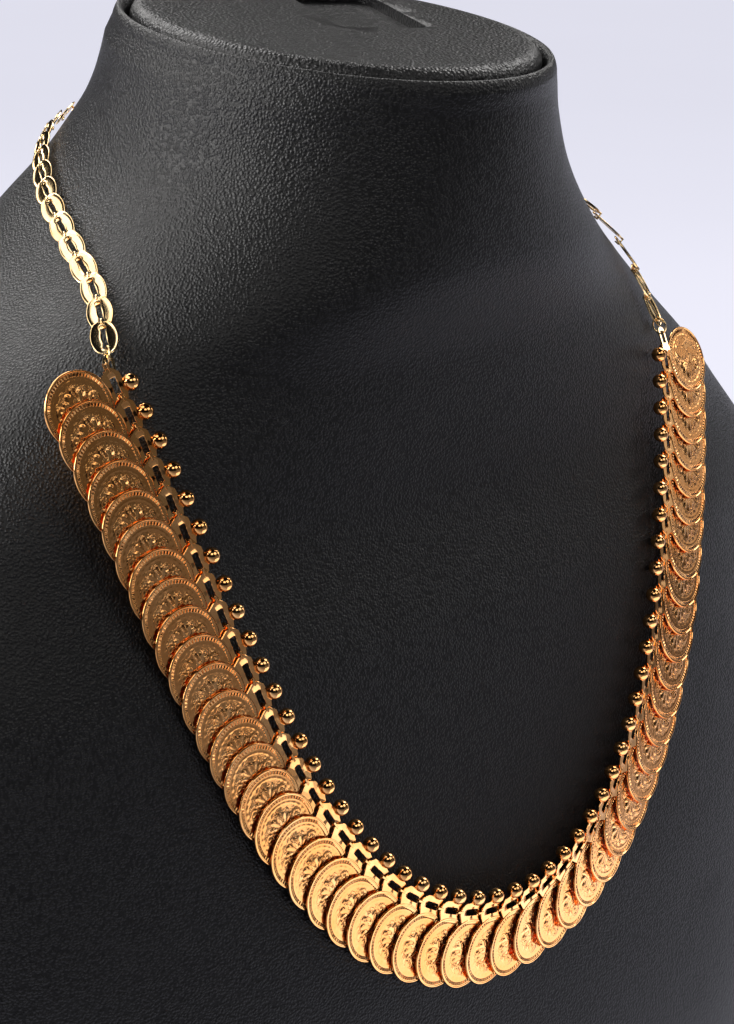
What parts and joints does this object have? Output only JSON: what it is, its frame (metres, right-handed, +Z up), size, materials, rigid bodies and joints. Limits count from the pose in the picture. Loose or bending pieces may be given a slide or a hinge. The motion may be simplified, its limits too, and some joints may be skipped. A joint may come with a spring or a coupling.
{
  "type": "coin necklace on neck bust",
  "caption": "Necklace of overlapping coin pendants on ball-headed necks, with a chain of oval links round the back, lying on a leather-covered neck and shoulder bust.",
  "frame": {"origin": "middle of the flat face that the bust stands on", "axes": "+Z up, the front of the bust with the necklace's middle faces -Y, +X is to the right of a viewer in front"},
  "size_m": [0.3286, 0.1561, 0.3181],
  "materials": {
    "gold": "polished gold with reddish tone",
    "chain_gold": "bright polished pale gold",
    "leather": "black pebbled leatherette, semi-gloss",
    "board": "black painted board"
  },
  "bodies": {
    "root": {"base_plate": "board", "bust_body": "leather", "bust_cap": "leather", "coin_string_left": "gold", "coin_string_right": "gold", "end_plate_left": "gold", "end_plate_right": "gold", "chain_left": "chain_gold", "chain_right": "chain_gold", "clasp": "chain_gold"}
  },
  "joints": []
}
